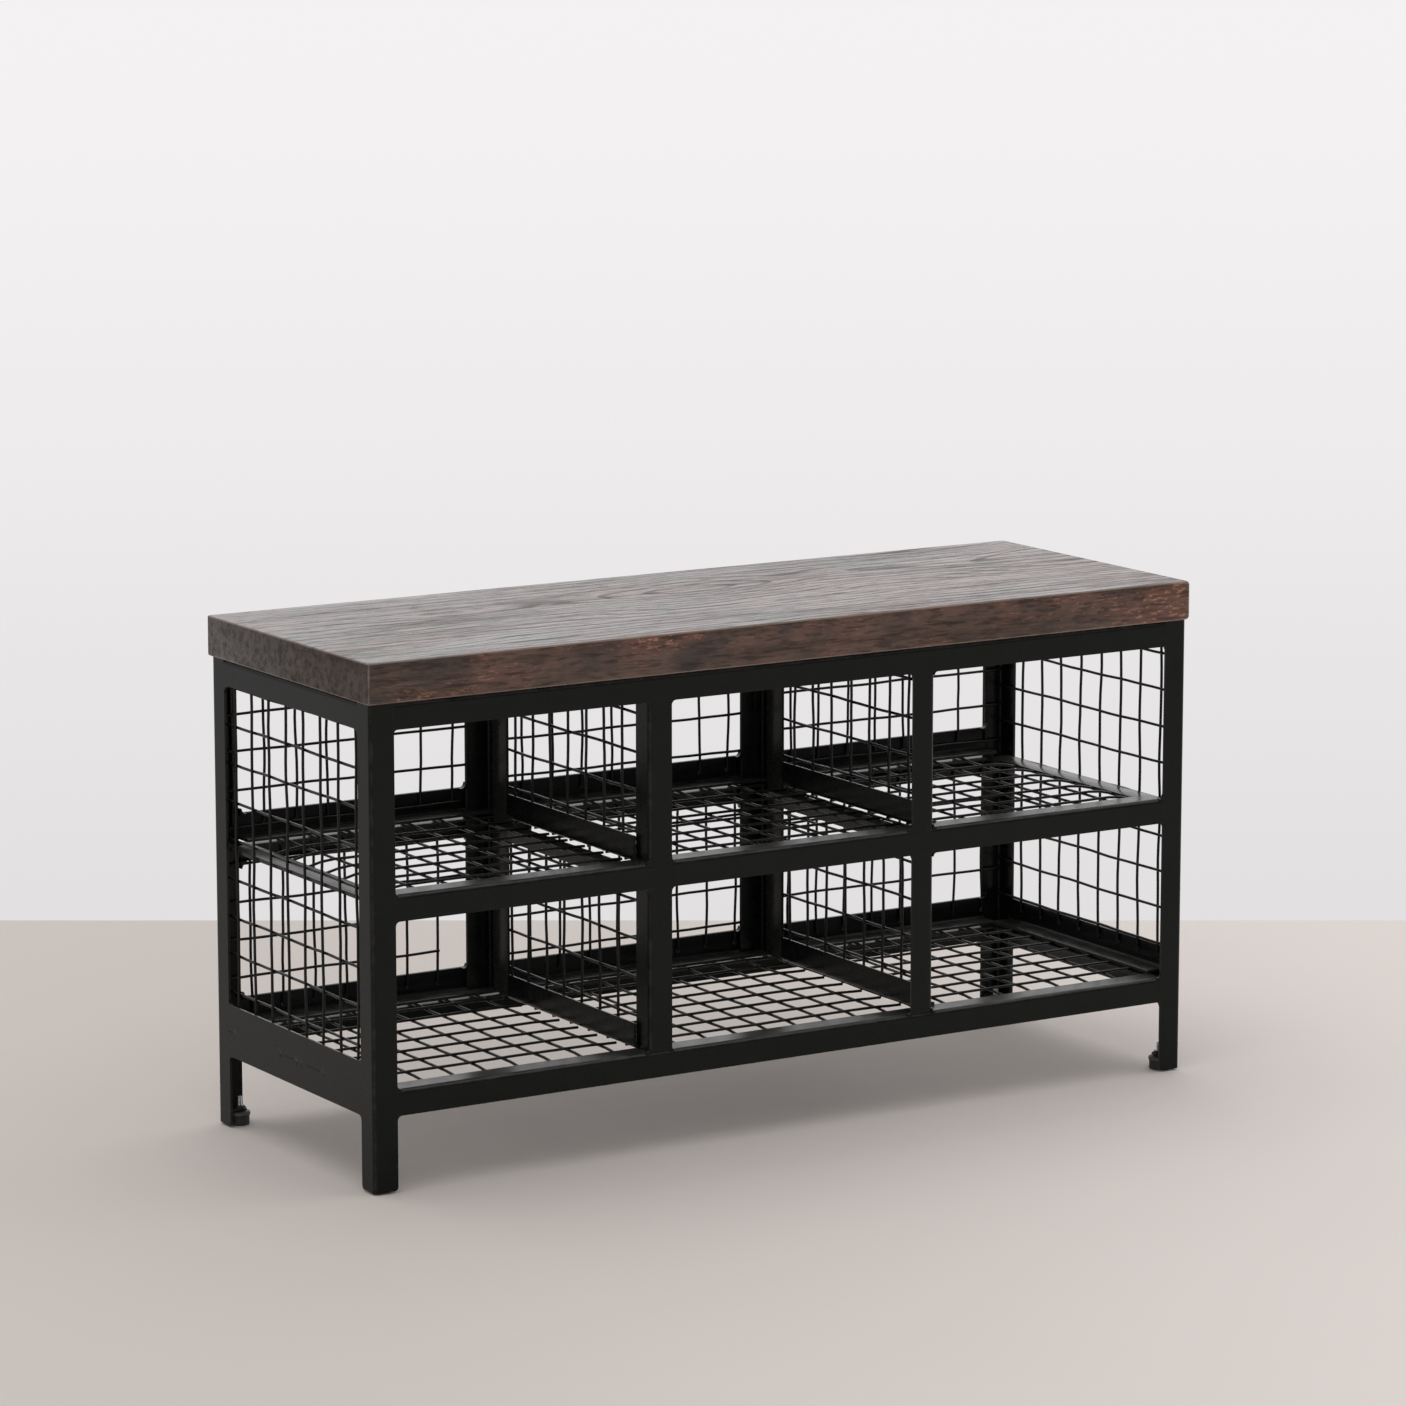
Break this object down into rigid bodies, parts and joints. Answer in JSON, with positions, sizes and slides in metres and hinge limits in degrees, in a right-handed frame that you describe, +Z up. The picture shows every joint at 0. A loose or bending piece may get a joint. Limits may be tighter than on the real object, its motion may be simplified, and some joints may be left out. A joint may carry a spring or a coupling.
{
  "type": "entryway bench",
  "caption": "Shoe bench: a thick stained wood seat on a welded black angle-iron rack, with wire-mesh shelves, ends, back and dividers and screw-adjustable feet.",
  "frame": {"origin": "on the floor under the middle of the seat, the bottom centre of the bounding box", "axes": "+X along the length, to the right as seen from the open front, +Y from the open front towards the meshed back, +Z up"},
  "size_m": [0.928, 0.325, 0.5],
  "materials": {
    "seat_wood": "dark walnut stain under a satin varnish",
    "black_paint": "black satin paint over welded steel",
    "zinc_plate": "bright zinc plating",
    "pad_plastic": "matt black moulded plastic"
  },
  "bodies": {
    "bench": {"seat_top": "seat_wood", "front_left_leg": "black_paint", "front_right_leg": "black_paint", "back_left_leg": "black_paint", "back_right_leg": "black_paint", "front_top_rail": "black_paint", "front_bottom_rail": "black_paint", "front_mid_rail": "black_paint", "front_left_upright": "black_paint", "front_right_upright": "black_paint", "back_top_rail": "black_paint", "back_bottom_upper_rail": "black_paint", "back_bottom_lower_rail": "black_paint", "back_mid_upper_rail": "black_paint", "back_mid_lower_rail": "black_paint", "back_left_upright": "black_paint", "back_right_upright": "black_paint", "left_divider_strap": "black_paint", "right_divider_strap": "black_paint", "left_top_rail": "black_paint", "left_bottom_upper_rail": "black_paint", "left_bottom_lower_rail": "black_paint", "left_mid_bar": "black_paint", "left_divider_bottom_rail": "black_paint", "left_divider_mid_upper_rail": "black_paint", "left_divider_mid_lower_rail": "black_paint", "right_top_rail": "black_paint", "right_bottom_upper_rail": "black_paint", "right_bottom_lower_rail": "black_paint", "right_mid_bar": "black_paint", "right_divider_bottom_rail": "black_paint", "right_divider_mid_upper_rail": "black_paint", "right_divider_mid_lower_rail": "black_paint", "left_end_mesh": "black_paint", "right_end_mesh": "black_paint", "back_lower_mesh": "black_paint", "back_upper_mesh": "black_paint", "bottom_shelf_mesh": "black_paint", "mid_shelf_mesh": "black_paint", "left_divider_lower_mesh": "black_paint", "left_divider_upper_mesh": "black_paint", "right_divider_lower_mesh": "black_paint", "right_divider_upper_mesh": "black_paint", "front_left_foot_bracket": "black_paint", "front_right_foot_bracket": "black_paint", "back_left_foot_bracket": "black_paint", "back_right_foot_bracket": "black_paint", "front_left_seat_screw": "zinc_plate", "front_right_seat_screw": "zinc_plate", "back_left_seat_screw": "zinc_plate", "back_right_seat_screw": "zinc_plate"},
    "front_left_stud": {"front_left_foot_stud": "zinc_plate"},
    "front_left_pad": {"front_left_foot_pad": "pad_plastic"},
    "front_right_stud": {"front_right_foot_stud": "zinc_plate"},
    "front_right_pad": {"front_right_foot_pad": "pad_plastic"},
    "back_left_stud": {"back_left_foot_stud": "zinc_plate"},
    "back_left_pad": {"back_left_foot_pad": "pad_plastic"},
    "back_right_stud": {"back_right_foot_stud": "zinc_plate"},
    "back_right_pad": {"back_right_foot_pad": "pad_plastic"}
  },
  "joints": [
    {"name": "front_left_foot_travel", "type": "slide", "parent": "bench", "child": "front_left_stud", "axis": [0, 0, -1], "range_m": [0, 0.008]},
    {"name": "front_left_foot_turn", "type": "hinge", "parent": "front_left_stud", "child": "front_left_pad", "pos_m": [-0.4464, -0.1449, 0], "axis": [0, 0, -1], "range_deg": [0, 2880]},
    {"name": "front_right_foot_travel", "type": "slide", "parent": "bench", "child": "front_right_stud", "axis": [0, 0, -1], "range_m": [0, 0.008]},
    {"name": "front_right_foot_turn", "type": "hinge", "parent": "front_right_stud", "child": "front_right_pad", "pos_m": [0.4464, -0.1449, 0], "axis": [0, 0, -1], "range_deg": [0, 2880]},
    {"name": "back_left_foot_travel", "type": "slide", "parent": "bench", "child": "back_left_stud", "axis": [0, 0, -1], "range_m": [0, 0.008]},
    {"name": "back_left_foot_turn", "type": "hinge", "parent": "back_left_stud", "child": "back_left_pad", "pos_m": [-0.4464, 0.1449, 0], "axis": [0, 0, -1], "range_deg": [0, 2880]},
    {"name": "back_right_foot_travel", "type": "slide", "parent": "bench", "child": "back_right_stud", "axis": [0, 0, -1], "range_m": [0, 0.008]},
    {"name": "back_right_foot_turn", "type": "hinge", "parent": "back_right_stud", "child": "back_right_pad", "pos_m": [0.4464, 0.1449, 0], "axis": [0, 0, -1], "range_deg": [0, 2880]}
  ],
  "couplings": [
    {"joint": "front_left_foot_travel", "follows": "front_left_foot_turn", "m_per_rad": 0.00015915},
    {"joint": "front_right_foot_travel", "follows": "front_right_foot_turn", "m_per_rad": 0.00015915},
    {"joint": "back_left_foot_travel", "follows": "back_left_foot_turn", "m_per_rad": 0.00015915},
    {"joint": "back_right_foot_travel", "follows": "back_right_foot_turn", "m_per_rad": 0.00015915}
  ]
}
